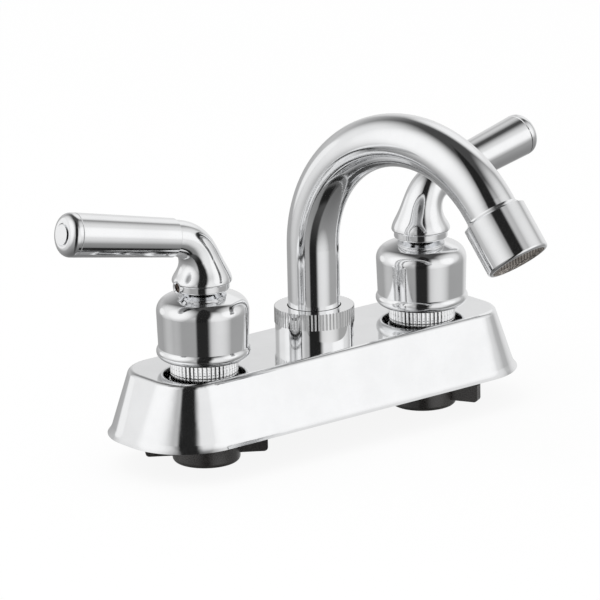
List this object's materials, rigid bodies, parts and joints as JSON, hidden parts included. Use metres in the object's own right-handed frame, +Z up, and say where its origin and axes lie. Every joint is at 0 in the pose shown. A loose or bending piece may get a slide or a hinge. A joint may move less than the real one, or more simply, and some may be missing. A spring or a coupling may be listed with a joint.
{
  "type": "two-handle centreset basin tap",
  "caption": "Chrome two-handle centreset basin tap with a swivelling bent spout, quarter-turn levers, bell canopies and wing nuts under a tapered base.",
  "frame": {"origin": "centre of the underside, on the deck plane midway between the two valve axes", "axes": "+X along the base from the hot valve to the cold valve, -Y towards the basin, +Z up"},
  "size_m": [0.2149, 0.1307, 0.1249],
  "materials": {
    "chrome": "polished chrome plate",
    "chrome_nut": "bright knurled chrome plate",
    "black_gasket": "matt black",
    "brass": "machined",
    "clip_plastic": "moulded",
    "seal_rubber": "matt black",
    "aerator_plastic": "moulded dark grey",
    "steel_mesh": "woven mesh",
    "nut_plastic": "moulded matt black",
    "ceramic": "lapped white ceramic",
    "spring_steel": "stamped"
  },
  "bodies": {
    "base": {"base_shell": "chrome", "deck_gasket": "black_gasket", "spout_body": "brass", "spout_nut": "chrome_nut", "left_valve_body": "brass", "left_cross_tube": "brass", "left_lock_ring": "chrome_nut", "left_canopy": "chrome", "left_wing_nut": "nut_plastic", "left_seat_seal": "seal_rubber", "left_fixed_disc": "ceramic", "left_cartridge_barrel": "brass", "right_valve_body": "brass", "right_cross_tube": "brass", "right_lock_ring": "chrome_nut", "right_canopy": "chrome", "right_wing_nut": "nut_plastic", "right_seat_seal": "seal_rubber", "right_fixed_disc": "ceramic", "right_cartridge_barrel": "brass"},
    "spout": {"spout_tube": "chrome", "spout_clip": "clip_plastic", "spout_seals": "seal_rubber", "aerator_housing": "chrome", "aerator_washer": "seal_rubber", "aerator_insert": "aerator_plastic", "aerator_screen": "steel_mesh"},
    "left_handle": {"left_handle_neck": "chrome", "left_lever_sleeve": "chrome", "left_end_cap": "chrome", "left_set_screw": "brass", "left_stem": "brass", "left_stem_seal": "seal_rubber", "left_stem_clip": "spring_steel", "left_moving_disc": "ceramic"},
    "right_handle": {"right_handle_neck": "chrome", "right_lever_sleeve": "chrome", "right_end_cap": "chrome", "right_set_screw": "brass", "right_stem": "brass", "right_stem_seal": "seal_rubber", "right_stem_clip": "spring_steel", "right_moving_disc": "ceramic"}
  },
  "joints": [
    {"name": "spout_swivel", "type": "hinge", "parent": "base", "child": "spout", "pos_m": [0, 0, 0.02], "axis": [0, 0, 1], "range_deg": [-36, 17]},
    {"name": "left_handle_turn", "type": "hinge", "parent": "base", "child": "left_handle", "pos_m": [-0.0508, 0, 0.012], "axis": [0, 0, 1], "range_deg": [0, 90]},
    {"name": "right_handle_turn", "type": "hinge", "parent": "base", "child": "right_handle", "pos_m": [0.0508, 0, 0.012], "axis": [0, 0, 1], "range_deg": [-90, 0]}
  ]
}
